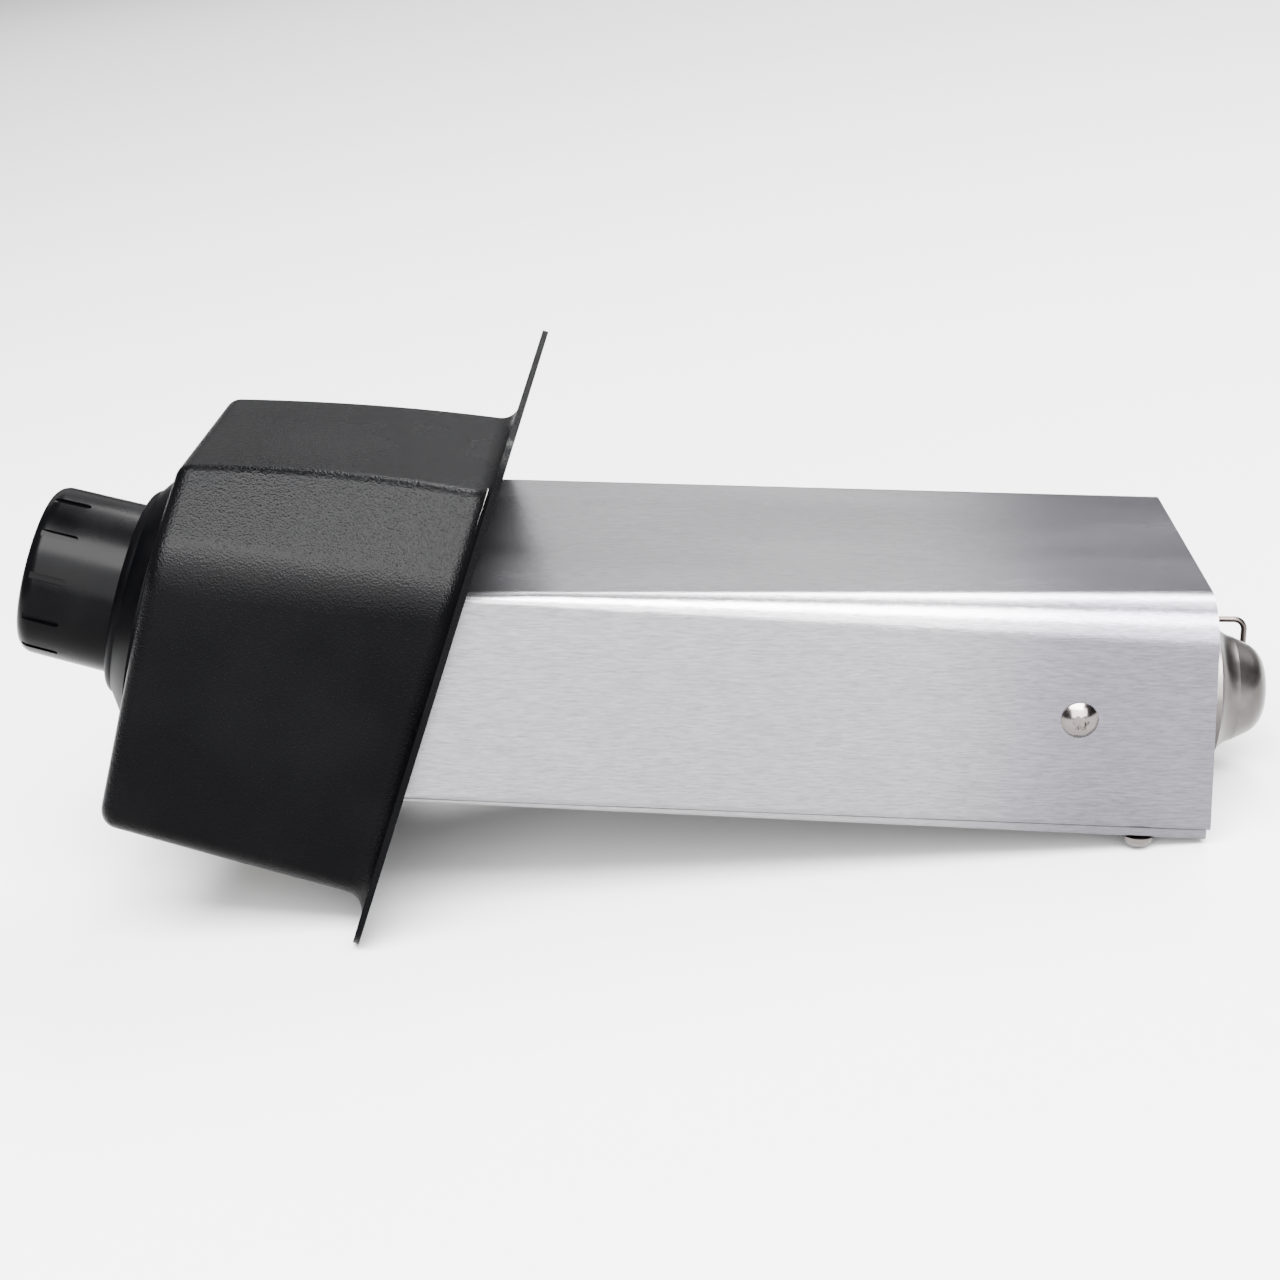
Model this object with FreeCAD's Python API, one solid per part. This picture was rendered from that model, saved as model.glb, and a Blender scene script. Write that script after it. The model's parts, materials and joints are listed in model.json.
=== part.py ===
import FreeCAD, Part
import math
import os

from FreeCAD import Placement, Rotation, Vector

# Gas burner for a portable pizza oven, in millimetres.
# +X runs along the burner box to the flame nozzle, +Z is up, and the origin is the centre of
# the flange's back face, which seats on the oven.
# The flange leans, so the control end is drawn in flange space and turned into place: there x
# runs up the flange, y across it, and z out of it towards the knob. The housing's front is not
# quite parallel to the flange, so what sits square on it is drawn in control space: flange
# space tipped about the foot of the knob's axis.

# Flange and control housing, in flange space
LEAN = 17.6
FLANGE_TOP = 75.5
FLANGE_BOTTOM = -75.9
FLANGE_HALF = 70.0
FLANGE_THICK = 1.8
FLANGE_CORNER = 8.0
HOUSING_DEPTH = 82.1
HOUSING_MIDDLE = 42.0
HOUSING_WALL = 2.8
# top, half width of the top, shoulder height, half width of the sides, bottom
HOUSING_BACK_SHAPE = (52.9, 40.2, 27.6, 59.5, -66.5)
HOUSING_MIDDLE_SHAPE = (44.9, 37.0, 20.2, 58.7, -68.2)
HOUSING_FRONT_SHAPE = (33.0, 36.6, 12.0, 57.5, -69.7)
HOUSING_RADII = (4.5, 22.0, 8.0)
BRIM_FILLET = 5.5
FRONT_ROUND = 5.0
REBATE_GROW = 1.0

# Mounting plate and its screws
PLATE_THICK = 1.5
GASKET_THICK = 1.5
PLATE_SCREWS = ((46.0, 32.0), (46.0, -32.0), (-59.0, 52.0), (-59.0, -52.0))
BOSS_RADIUS = 4.5
BOSS_HEIGHT = 16.0

# Burner box, along X: a pair is its value at the flange and at the far end
DUCT_LENGTH = 212.0
DUCT_HALF = 56.0
DUCT_TOP = (27.8, 26.7)
DUCT_FLOOR = (-32.6, -38.6)
TOP_BEND = (2.2, 13.0)
TRAY_DROP = (1.2, 2.9)
TRAY_EDGE = 1.4
TRAY_END_X = 209.5
SHEET = 0.9
FLOOR_BEND = 2.0
RETURN_WIDTH = 14.0
END_LEAN = 2.0
END_TOP_X = 208.1
SIDE_SCREW = (172.9, -5.9)
BASE_SCREW = (191.6, 4.9)

# End panel
PANEL_THICK = 1.5
PANEL_FACE_X = 206.4
PANEL_ARM_X = 161.0

# Burner line, parallel to X
BURNER_Z = -17.6
TUBE_OUTER = 11.5
TUBE_WALL = 1.2
TUBE_END_X = 212.0
TUBE_BRACKET_X = 130.0
TUBE_SCREW_Y = 22.0
HEAD_OUTER = 13.5
HEAD_X = (32.0, 58.0)
SHUTTER_X = (38.0, 54.0)
THROAT_X = 80.0
NOZZLE_WALL = 1.6
NOZZLE_SKIRT = 20.8
NOZZLE_TIP_X = 233.8
MOUTH_TURN = 42.0
NOZZLE_SCREW_RADIUS = 15.5
NOZZLE_SCREW_ANGLES = (-155, 5, 110)

# Controls, in control space, on an axis along z at KNOB_X
CONTROL_TILT = 3.4
KNOB_X = -14.8
KNOB_RADIUS = 24.7
KNOB_DRAFT = 0.5
KNOB_BACK = 89.6
KNOB_FRONT = 121.2
KNOB_WALL = 2.5
KNOB_ROUND = 4.5
KNOB_SLOTS = 12
SLOT_WIDTH = 2.0
SLOT_LENGTH = 13.0
SLOT_DEPTH = 0.8
BEZEL_BASE = 38.5
BEZEL_FRONT = 28.9
BEZEL_HEIGHT = 11.6
BEZEL_FOOT = 3.2
BEZEL_FLOOR = 2.6
STEM_RADIUS = 3.0
STEM_FLAT = 2.1
RUN_GAP = 0.06
FIT_GAP = 0.1

# Valve, measured out from the flange
VALVE_BACK = 18.0
VALVE_TOP = 48.0
VALVE_HALF = 13.0
NECK_TOP = 57.0
NECK_RADIUS = 8.0
PLUG_BACK = 28.0
PLUG_TOP = 44.0
PLUG_RADII = (6.5, 8.0)
COLLAR_BACK = 68.0
COLLAR_TOP = 71.0
BRACKET_THICK = 2.0
BRACKET_HALF = 42.0
LEAD_HOLE_UP = 22.0

# Gas inlet in the housing's underside, in flange space
INLET_OUT = 36.0
INLET_FACE = -68.0
INLET_TOP = -31.5
INLET_BODY = 9.0
INLET_THREAD = 5.72
INLET_DEPTH = 12.0
INLET_NUT_X = -64.3

# Igniter
IGNITER_Y = 30.0
IGNITER_SIZE = (18.0, 16.0)
IGNITER_BACK = 40.0
IGNITER_TOP = 62.0
PLUNGER_RADIUS = 3.0

# Spark electrode and flame sensor, beside the nozzle: y and z of each line
SPARK_LINE = (14.0, -1.4)
SENSOR_LINE = (14.0, -31.5)
WIRE_RADIUS = 0.9
WIRE_END_X = 230.4
WIRE_DROP = 8.5

TURN = Placement(Vector(0, 0, 0), Rotation(Vector(0, 1, 0), LEAN - 90.0))
TIP = Placement(Vector(0, 0, 0), Rotation(Vector(0, 1, 0), -CONTROL_TILT), Vector(KNOB_X, 0, 0))
TURN_CONTROL = TURN.multiply(TIP)


# ---- shape helpers -------------------------------------------------------------------------

def box(x0, x1, y0, y1, z0, z1):
    return Part.makeBox(x1 - x0, y1 - y0, z1 - z0, Vector(x0, y0, z0))


def rod(radius, start, end):
    """Cylinder from start to end."""
    span = end - start
    return Part.makeCylinder(radius, span.Length, start, span)


def taper(radius_start, radius_end, start, end):
    """Cone frustum from start to end."""
    span = end - start
    return Part.makeCone(radius_start, radius_end, span.Length, start, span)


def pipe(outer, inner, start, end):
    """Straight tube from start to end."""
    return rod(outer, start, end).cut(rod(inner, start, end))


def joined(shapes):
    """One solid from overlapping or touching shapes."""
    return shapes[0].fuse(shapes[1:]).removeSplitter()


def placed(shape, origin, direction):
    """Stand a shape built on +Z at the origin along a direction at another point."""
    moved = shape.copy()
    moved.Placement = Placement(origin, Rotation(Vector(0, 0, 1), direction))
    return moved


def turned(shape):
    """Take a shape from flange space to its place on the leaning flange."""
    moved = shape.copy()
    moved.Placement = TURN.multiply(moved.Placement)
    return moved


def tipped(shape):
    """Take a shape from control space to flange space."""
    moved = shape.copy()
    moved.Placement = TIP.multiply(moved.Placement)
    return moved


def rounded_wire(corners, to_space):
    """Closed outline through (x, y, radius) corners, each rounded by a tangent arc."""
    arcs = []
    count = len(corners)
    for index in range(count):
        here = Vector(corners[index][0], corners[index][1], 0)
        back = Vector(corners[index - 1][0], corners[index - 1][1], 0) - here
        ahead = Vector(corners[(index + 1) % count][0], corners[(index + 1) % count][1], 0) - here
        back.normalize()
        ahead.normalize()
        radius = corners[index][2]
        half = back.getAngle(ahead) / 2
        reach = radius / math.tan(half)
        inward = back + ahead
        inward.normalize()
        middle = here + inward * (radius / math.sin(half) - radius)
        arcs.append((here + back * reach, middle, here + ahead * reach))
    edges = []
    for index in range(count):
        start, middle, end = [to_space(point.x, point.y) for point in arcs[index]]
        edges.append(Part.Arc(start, middle, end).toShape())
        following = to_space(arcs[(index + 1) % count][0].x, arcs[(index + 1) % count][0].y)
        edges.append(Part.LineSegment(end, following).toShape())
    return Part.Wire(edges)


def revolved(edges, centre, axis):
    """Solid of revolution of a closed outline."""
    face = Part.Face(Part.Wire(Part.__sortEdges__([edge.toShape() for edge in edges])))
    return face.revolve(centre, axis, 360)


def line(start, end):
    return Part.LineSegment(start, end)


def bent_rod(points, radius, bend):
    """Round bar along straight runs joined by tangent arcs."""
    edges = []
    start = points[0]
    for index in range(1, len(points) - 1):
        corner = points[index]
        back = (points[index - 1] - corner).normalize()
        ahead = (points[index + 1] - corner).normalize()
        half = back.getAngle(ahead) / 2
        reach = bend / math.tan(half)
        inward = (back + ahead).normalize()
        middle = corner + inward * (bend / math.sin(half) - bend)
        arc_start = corner + back * reach
        arc_end = corner + ahead * reach
        edges.append(Part.LineSegment(start, arc_start).toShape())
        edges.append(Part.Arc(arc_start, middle, arc_end).toShape())
        start = arc_end
    edges.append(Part.LineSegment(start, points[-1]).toShape())
    spine = Part.Wire(edges)
    ring = Part.Wire(Part.Circle(points[0], points[1] - points[0], radius).toShape())
    return spine.makePipeShell([ring], True, False)


def hexagon(across_flats, z0, z1):
    """Hexagonal prism on the Z axis."""
    reach = across_flats / math.sqrt(3)
    corners = []
    for step in range(7):
        angle = math.radians(60 * step)
        corners.append(Vector(reach * math.cos(angle), reach * math.sin(angle), z0))
    return Part.Face(Part.makePolygon(corners)).extrude(Vector(0, 0, z1 - z0))


def star_socket(radius, z0, z1):
    """Six-lobed screw recess on the Z axis."""
    lobes = [Part.makeCylinder(radius * 0.74, z1 - z0, Vector(0, 0, z0))]
    for step in range(6):
        angle = math.radians(60 * step)
        centre = Vector(radius * 0.76 * math.cos(angle), radius * 0.76 * math.sin(angle), z0)
        lobes.append(Part.makeCylinder(radius * 0.24, z1 - z0, centre))
    return joined(lobes)


def dome_screw(shank, length, head, height):
    """Button-head screw with its head on +Z and its seat at z = 0."""
    land = 0.5
    ball = (head ** 2 + (height - land) ** 2) / (2 * (height - land))
    dome = Part.makeSphere(ball, Vector(0, 0, height - ball))
    dome = dome.common(Part.makeCylinder(head, height - land, Vector(0, 0, land)))
    cap = joined([Part.makeCylinder(head, land), dome])
    cap = cap.cut(star_socket(head * 0.46, height * 0.4, height + 1))
    return joined([cap, Part.makeCylinder(shank, length, Vector(0, 0, -length))])


def flat_screw(shank, length, head, depth):
    """Countersunk screw with its flat face at z = 0 and its tip on -Z."""
    cone = Part.makeCone(shank, head, depth, Vector(0, 0, -depth))
    screw = joined([cone, Part.makeCylinder(shank, length - depth, Vector(0, 0, -length))])
    return screw.cut(star_socket(head * 0.45, -depth * 0.7, 1))


def screws_at(screw, places, outward):
    """Copies of a screw with their heads along one direction."""
    return Part.makeCompound([placed(screw, place, outward) for place in places])


def export(name, shape):
    shape.exportStep("parts/" + name + ".step")


# ---- control housing, in flange space --------------------------------------------------------

def housing_outline(shape, inset, to_space):
    """Outline of the hood with one of its shapes, drawn in by an inset."""
    top, top_half, shoulder, side_half, bottom = shape
    top_radius, side_radius, bottom_radius = HOUSING_RADII
    corner = inset * 0.5
    right = [
        (top - inset, top_half - corner, max(top_radius - inset, 1.0)),
        (shoulder - corner, side_half - inset, side_radius - inset),
        (bottom + inset, side_half - inset, bottom_radius - inset),
    ]
    left = [(x, -y, radius) for x, y, radius in reversed(right)]
    return rounded_wire(right + left, to_space)


def blended(first, second, share):
    return tuple(a + (b - a) * share for a, b in zip(first, second))


def hood(start, setback, inset):
    """The hood's outside or inside, from a height to a distance behind its tilted front."""
    back = blended(HOUSING_BACK_SHAPE, HOUSING_MIDDLE_SHAPE, start / HOUSING_MIDDLE)
    reach = HOUSING_DEPTH - HOUSING_MIDDLE
    front = blended(HOUSING_FRONT_SHAPE, HOUSING_MIDDLE_SHAPE, setback / reach)
    height = HOUSING_DEPTH - setback
    wires = [
        housing_outline(back, inset, lambda x, y: Vector(x, y, start)),
        housing_outline(HOUSING_MIDDLE_SHAPE, inset, lambda x, y: Vector(x, y, HOUSING_MIDDLE)),
        housing_outline(front, inset, lambda x, y: front_point(x, y, height)),
    ]
    return Part.makeLoft(wires, True, False)


def front_point(x, y, height):
    """Point on a plane square to the knob's axis, from its place up and across the flange."""
    tilt = math.radians(CONTROL_TILT)
    axis_x = KNOB_X - height * math.sin(tilt)
    rise = (x - axis_x) / math.cos(tilt)
    return TIP.multVec(Vector(KNOB_X + rise, y, height))


def front_edges(shape):
    """Edges of the hood that lie on its front."""
    found = []
    back = TIP.inverse()
    for edge in shape.Edges:
        heights = [back.multVec(vertex.Point).z for vertex in edge.Vertexes]
        if min(heights) > HOUSING_DEPTH - 0.01:
            found.append(edge)
    return found


def edges_at(shape, height, reach_x, reach_y):
    """Edges that lie at one height and within a window around the axis."""
    found = []
    for edge in shape.Edges:
        bounds = edge.BoundBox
        level = abs(bounds.ZMin - height) < 0.01 and abs(bounds.ZMax - height) < 0.01
        inside = max(abs(bounds.XMin), abs(bounds.XMax)) < reach_x
        inside = inside and max(abs(bounds.YMin), abs(bounds.YMax)) < reach_y
        if level and inside:
            found.append(edge)
    return found


def brim():
    """Flat flange plate."""
    corners = [
        (FLANGE_TOP, -FLANGE_HALF, FLANGE_CORNER),
        (FLANGE_TOP, FLANGE_HALF, FLANGE_CORNER),
        (FLANGE_BOTTOM, FLANGE_HALF, FLANGE_CORNER),
        (FLANGE_BOTTOM, -FLANGE_HALF, FLANGE_CORNER),
    ]
    outline = rounded_wire(corners, lambda x, y: Vector(x, y, 0))
    return Part.Face(outline).extrude(Vector(0, 0, FLANGE_THICK))


def rebate(grow, z0, z1):
    """Seat for the mounting plate inside the flange."""
    outline = housing_outline(HOUSING_BACK_SHAPE, -grow, lambda x, y: Vector(x, y, 0))
    plate = Part.Face(outline).extrude(Vector(0, 0, z1 - z0))
    plate.translate(Vector(0, 0, z0))
    return plate


def control_housing():
    outside = hood(0, 0, 0)
    outside = outside.makeFillet(FRONT_ROUND, front_edges(outside))
    shell = outside.fuse(brim()).removeSplitter()
    shell = shell.makeFillet(BRIM_FILLET, edges_at(shell, FLANGE_THICK, 70, 65))
    ledge = PLATE_THICK + GASKET_THICK
    inner = hood(ledge - 0.01, HOUSING_WALL, HOUSING_WALL)
    posts = []
    for x, y in PLATE_SCREWS:
        posts.append(rod(BOSS_RADIUS, Vector(x, y, ledge), Vector(x, y, BOSS_HEIGHT)))
    shell = shell.cut(inner)
    shell = shell.fuse([post.common(inner) for post in posts])
    shell = shell.cut(rebate(REBATE_GROW, -1, ledge))
    holes = []
    for x, y in PLATE_SCREWS:
        holes.append(rod(2.0, Vector(x, y, 0), Vector(x, y, BOSS_HEIGHT - 2)))
    for x, y in bezel_screw_places():
        holes.append(tipped(rod(1.6, Vector(x, y, 70), Vector(x, y, 90))))
    holes.append(tipped(rod(10.0, Vector(KNOB_X, 0, 70), Vector(KNOB_X, 0, 90))))
    holes.append(rod(INLET_BODY + FIT_GAP, Vector(-80, 0, INLET_OUT), Vector(-55, 0, INLET_OUT)))
    holes.append(rod(11.3, Vector(-80, 0, INLET_OUT), Vector(INLET_FACE + 1.3, 0, INLET_OUT)))
    return shell.cut(holes).removeSplitter()


def duct_slot_points():
    """Places of the cover's tabs in the plate: x, y, half size along x and along y."""
    top = DUCT_TOP[0] / math.cos(math.radians(LEAN))
    return [(top, 26.0, 1.6, 6.5), (top, -26.0, 1.6, 6.5)]


def lead_point(across, out):
    """Point on the way of the leads through the plate."""
    return Vector(KNOB_X + LEAD_HOLE_UP, IGNITER_Y + across, out)


def mounting_plate():
    plate = rebate(REBATE_GROW - 0.25, 0, PLATE_THICK)
    cuts = []
    for x, y, half_x, half_y in duct_slot_points():
        cuts.append(box(x - half_x, x + half_x, y - half_y, y + half_y, -1, 3))
    for x, y in PLATE_SCREWS:
        cuts.append(taper(4.15, 2.0, Vector(x, y, -0.05), Vector(x, y, 2.2)))
    for x, y in bracket_foot_places():
        cuts.append(rod(2.1, Vector(x, y, -1), Vector(x, y, 3)))
    cuts.append(rod(6.0, Vector(KNOB_X, 0, -1), Vector(KNOB_X, 0, 3)))
    cuts.append(rod(4.0, lead_point(0, -1), lead_point(0, 3)))
    return plate.cut(cuts)


def plate_gasket():
    """Ring round the plate's rim, with a pad under each screw."""
    face = PLATE_THICK + GASKET_THICK
    ring = rebate(REBATE_GROW - 0.3, PLATE_THICK, face).cut(rebate(-HOUSING_WALL, 0, 5))
    pads = [rod(BOSS_RADIUS, Vector(x, y, PLATE_THICK), Vector(x, y, face)) for x, y in PLATE_SCREWS]
    holes = [rod(3.0, Vector(x, y, 0), Vector(x, y, 5)) for x, y in PLATE_SCREWS]
    return ring.fuse(pads).removeSplitter().cut(holes)


def plate_screws():
    places = [Vector(x, y, 0.05) for x, y in PLATE_SCREWS]
    return screws_at(flat_screw(1.9, 13.0, 4.0, 2.1), places, Vector(0, 0, -1))


# ---- bezel, knob and stem, in control space ---------------------------------------------------

def bezel_screw_places():
    places = []
    for angle in (30, 150, 270):
        turn = math.radians(angle)
        places.append((KNOB_X + 16 * math.cos(turn), 16 * math.sin(turn)))
    return places


def bezel_ring():
    base = HOUSING_DEPTH
    face = base + BEZEL_HEIGHT
    bore = KNOB_RADIUS + KNOB_DRAFT + 0.7
    edges = [
        line(Vector(11, 0, base), Vector(BEZEL_BASE, 0, base)),
        line(Vector(BEZEL_BASE, 0, base), Vector(BEZEL_BASE, 0, base + BEZEL_FOOT)),
        line(Vector(BEZEL_BASE, 0, base + BEZEL_FOOT), Vector(BEZEL_FRONT + 1.6, 0, face - 2.6)),
        Part.Arc(Vector(BEZEL_FRONT + 1.6, 0, face - 2.6), Vector(BEZEL_FRONT + 0.2, 0, face - 0.7),
                 Vector(BEZEL_FRONT - 1.2, 0, face)),
        line(Vector(BEZEL_FRONT - 1.2, 0, face), Vector(bore, 0, face)),
        line(Vector(bore, 0, face), Vector(bore, 0, base + BEZEL_FLOOR)),
        line(Vector(bore, 0, base + BEZEL_FLOOR), Vector(11, 0, base + BEZEL_FLOOR)),
        line(Vector(11, 0, base + BEZEL_FLOOR), Vector(11, 0, base)),
    ]
    ring = revolved(edges, Vector(0, 0, 0), Vector(0, 0, 1))
    ring.translate(Vector(KNOB_X, 0, 0))
    cuts = [rod(1.7, Vector(x, y, 70), Vector(x, y, 90)) for x, y in bezel_screw_places()]
    cuts.append(box(KNOB_X + bore + 0.8, KNOB_X + BEZEL_BASE, -0.6, 0.6, face - 0.7, face + 1))
    return ring.cut(cuts)


def bezel_screws():
    seat = HOUSING_DEPTH + BEZEL_FLOOR
    places = [Vector(x, y, seat) for x, y in bezel_screw_places()]
    return screws_at(dome_screw(1.5, 8.0, 2.8, 1.8), places, Vector(0, 0, 1))


def control_knob():
    rim = KNOB_RADIUS
    foot = rim + KNOB_DRAFT
    shoulder = KNOB_FRONT - KNOB_ROUND
    bulge = KNOB_ROUND * (1 - math.sqrt(0.5))
    edges = [
        line(Vector(0, 0, KNOB_BACK), Vector(foot, 0, KNOB_BACK)),
        line(Vector(foot, 0, KNOB_BACK), Vector(rim, 0, shoulder)),
        Part.Arc(Vector(rim, 0, shoulder), Vector(rim - bulge, 0, KNOB_FRONT - bulge),
                 Vector(rim - KNOB_ROUND, 0, KNOB_FRONT)),
        line(Vector(rim - KNOB_ROUND, 0, KNOB_FRONT), Vector(0, 0, KNOB_FRONT)),
        line(Vector(0, 0, KNOB_FRONT), Vector(0, 0, KNOB_BACK)),
    ]
    knob = revolved(edges, Vector(0, 0, 0), Vector(0, 0, 1))
    roof = KNOB_FRONT - KNOB_WALL - 1
    hollow = pipe(KNOB_RADIUS - KNOB_WALL, 8.5, Vector(0, 0, KNOB_BACK - 1), Vector(0, 0, roof))
    mouth = rod(KNOB_RADIUS - KNOB_WALL, Vector(0, 0, KNOB_BACK - 1), Vector(0, 0, 90))
    knob = knob.cut([hollow, mouth, rod(5.5, Vector(0, 0, 80), Vector(0, 0, 111))])
    cuts = []
    for step in range(KNOB_SLOTS):
        inner = KNOB_RADIUS - SLOT_DEPTH
        start = KNOB_FRONT - SLOT_LENGTH + SLOT_WIDTH / 2
        half = SLOT_WIDTH / 2
        slot = box(inner, inner + 3, -half, half, start, KNOB_FRONT - KNOB_ROUND + 2.2)
        end = rod(half, Vector(inner, 0, start), Vector(inner + 3, 0, start))
        cut = slot.fuse(end)
        cut.rotate(Vector(0, 0, 0), Vector(0, 0, 1), 360 / KNOB_SLOTS * (step + 0.5))
        cuts.append(cut)
    pointer = box(9, KNOB_RADIUS - KNOB_ROUND - 0.5, -0.8, 0.8, KNOB_FRONT - 0.6, KNOB_FRONT + 1)
    cuts.append(pointer)
    knob = knob.cut(cuts)
    knob.translate(Vector(KNOB_X, 0, 0))
    return knob


def flat_side(radius, flat, z0, z1):
    """Round bar with one flat, on the knob's axis."""
    bar = Part.makeCylinder(radius, z1 - z0, Vector(0, 0, z0))
    bar = bar.cut(box(flat, radius + 1, -radius - 1, radius + 1, z0 - 1, z1 + 1))
    bar.translate(Vector(KNOB_X, 0, 0))
    return bar


def knob_insert():
    sleeve = rod(5.5, Vector(KNOB_X, 0, 90), Vector(KNOB_X, 0, 110))
    return sleeve.cut(flat_side(STEM_RADIUS, STEM_FLAT, 89, 109))


def valve_stem():
    axis = Vector(KNOB_X, 0, 0)
    pieces = [
        rod(STEM_RADIUS, axis + Vector(0, 0, PLUG_TOP + 1), axis + Vector(0, 0, 90)),
        rod(4.5, axis + Vector(0, 0, COLLAR_TOP), axis + Vector(0, 0, COLLAR_TOP + 2)),
        flat_side(STEM_RADIUS, STEM_FLAT, 90, 109),
        box(KNOB_X - 2.6, KNOB_X + 2.6, -0.9, 0.9, PLUG_TOP - 5, PLUG_TOP + 2),
    ]
    return joined(pieces)


def push_collar():
    axis = Vector(KNOB_X, 0, 0)
    ring = rod(8.0, axis + Vector(0, 0, COLLAR_BACK), axis + Vector(0, 0, COLLAR_TOP))
    arm = box(KNOB_X - 4, KNOB_X + 4, 0, IGNITER_Y + 4, COLLAR_BACK, COLLAR_TOP)
    bore = rod(STEM_RADIUS + RUN_GAP, axis + Vector(0, 0, 60), axis + Vector(0, 0, 80))
    return joined([ring, arm]).cut(bore)


def stem_spring():
    """Coil spring whose turns are short runs joined by arcs."""
    wire = 0.5
    radius = 5.4
    turns = 3
    steps = 8
    rise = COLLAR_BACK - NECK_TOP - 2 * wire - 0.4
    points = []
    for step in range(turns * steps + 1):
        angle = 2 * math.pi * step / steps
        height = NECK_TOP + wire + 0.2 + rise * step / (turns * steps)
        points.append(Vector(KNOB_X + radius * math.cos(angle), radius * math.sin(angle), height))
    return bent_rod(points, wire, radius * 0.86)


# ---- valve and igniter ------------------------------------------------------------------------

def valve_body():
    axis = Vector(KNOB_X, 0, 0)
    half = VALVE_HALF
    block = box(KNOB_X - half - 3, KNOB_X + half, -half, half, VALVE_BACK, VALVE_TOP)
    upright = [edge for edge in block.Edges if edge.BoundBox.ZLength > 1]
    block = block.makeFillet(2.5, upright)
    neck = rod(NECK_RADIUS, axis + Vector(0, 0, VALVE_TOP), axis + Vector(0, 0, NECK_TOP))
    body = joined([block, neck])
    cuts = [
        taper(PLUG_RADII[0] + RUN_GAP, PLUG_RADII[1] + RUN_GAP,
              axis + Vector(0, 0, PLUG_BACK), axis + Vector(0, 0, PLUG_TOP + 0.2)),
        rod(STEM_RADIUS + RUN_GAP, axis + Vector(0, 0, PLUG_TOP), axis + Vector(0, 0, NECK_TOP + 1)),
        rod(3.1, axis + Vector(0, 0, VALVE_BACK - 1), axis + Vector(0, 0, VALVE_BACK + 6)),
        rod(1.5, axis + Vector(0, 0, VALVE_BACK), axis + Vector(0, 0, PLUG_BACK + 1)),
        rod(2.1, Vector(KNOB_X + 6, half + 1, 24), Vector(KNOB_X + 6, half - 5, 24)),
    ]
    inlet = [
        box(INLET_TOP - 10, INLET_TOP, -half - 1, half + 1, 0, VALVE_TOP + 9),
        rod(5.1, Vector(INLET_TOP - 1, 0, INLET_OUT), Vector(INLET_TOP + 4, 0, INLET_OUT)),
        rod(1.5, Vector(INLET_TOP, 0, INLET_OUT), Vector(KNOB_X, 0, INLET_OUT)),
    ]
    return tipped(body.cut(cuts)).cut(inlet)


def valve_plug():
    axis = Vector(KNOB_X, 0, 0)
    gap = 0.1
    plug = taper(PLUG_RADII[0], PLUG_RADII[1], axis + Vector(0, 0, PLUG_BACK + gap),
                 axis + Vector(0, 0, PLUG_TOP))
    cuts = [
        box(KNOB_X - 3.4, KNOB_X + 3.4, -1.05, 1.05, PLUG_TOP - 10, PLUG_TOP + 1),
        rod(3.3, axis + Vector(0, 0, PLUG_TOP - 4.2), axis + Vector(0, 0, PLUG_TOP + 1)),
        rod(1.4, axis + Vector(0, 0, PLUG_BACK - 1), axis + Vector(0, 0, PLUG_BACK + 5)),
    ]
    return plug.cut(cuts)


def stem_nut():
    nut = hexagon(22, VALVE_TOP + BRACKET_THICK, VALVE_TOP + BRACKET_THICK + 4.5)
    nut = nut.cut(Part.makeCylinder(NECK_RADIUS + RUN_GAP, 20, Vector(0, 0, VALVE_TOP)))
    nut.translate(Vector(KNOB_X, 0, 0))
    return nut


def bracket_foot_places():
    reach = BRACKET_HALF - 7
    return [(KNOB_X + 9, reach), (KNOB_X - 9, reach), (KNOB_X + 9, -reach), (KNOB_X - 9, -reach)]


def valve_bracket():
    """Bridge under the valve's nut: a tilted top and two legs, with feet flat on the plate."""
    half = BRACKET_HALF
    outside = box(KNOB_X - 15, KNOB_X + 15, -half, half, -5, VALVE_TOP + BRACKET_THICK)
    corners = []
    for edge in outside.Edges:
        if edge.BoundBox.XLength > 1 and edge.BoundBox.ZMin > VALVE_TOP:
            corners.append(edge)
    outside = outside.makeFillet(3.0, corners)
    window = box(KNOB_X - 20, KNOB_X + 20, -half + BRACKET_THICK, half - BRACKET_THICK, -9, VALVE_TOP)
    holes = [
        rod(NECK_RADIUS + FIT_GAP, Vector(KNOB_X, 0, VALVE_TOP - 1), Vector(KNOB_X, 0, VALVE_TOP + 3)),
        igniter_block(0.2, VALVE_TOP - 1, VALVE_TOP + 3),
    ]
    bridge = tipped(outside.cut([window] + holes))
    bridge = bridge.cut(box(-100, 100, -100, 100, -50, PLATE_THICK))
    feet = []
    for side in (-1, 1):
        span = sorted((side * (half - 14), side * (half - 0.5)))
        seat = PLATE_THICK + BRACKET_THICK
        feet.append(box(KNOB_X - 15, KNOB_X + 14.8, span[0], span[1], PLATE_THICK, seat))
    bolts = [rod(2.2, Vector(x, y, 0), Vector(x, y, 5)) for x, y in bracket_foot_places()]
    return joined([bridge] + feet).cut(bolts)


def bracket_screws():
    seat = PLATE_THICK + BRACKET_THICK
    places = [Vector(x, y, seat) for x, y in bracket_foot_places()]
    return screws_at(dome_screw(1.95, 3.2, 3.6, 2.3), places, Vector(0, 0, 1))


def igniter_block(gap, z0, z1):
    half_x = IGNITER_SIZE[0] / 2 + gap
    half_y = IGNITER_SIZE[1] / 2 - 1 + gap
    middle = IGNITER_Y
    return box(KNOB_X - half_x, KNOB_X + half_x, middle - half_y, middle + half_y, z0, z1)


def igniter_rod(radius, up, z0, z1):
    """Round bar on the igniter's axis, or beside it."""
    x = KNOB_X + up
    return rod(radius, Vector(x, IGNITER_Y, z0), Vector(x, IGNITER_Y, z1))


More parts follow.
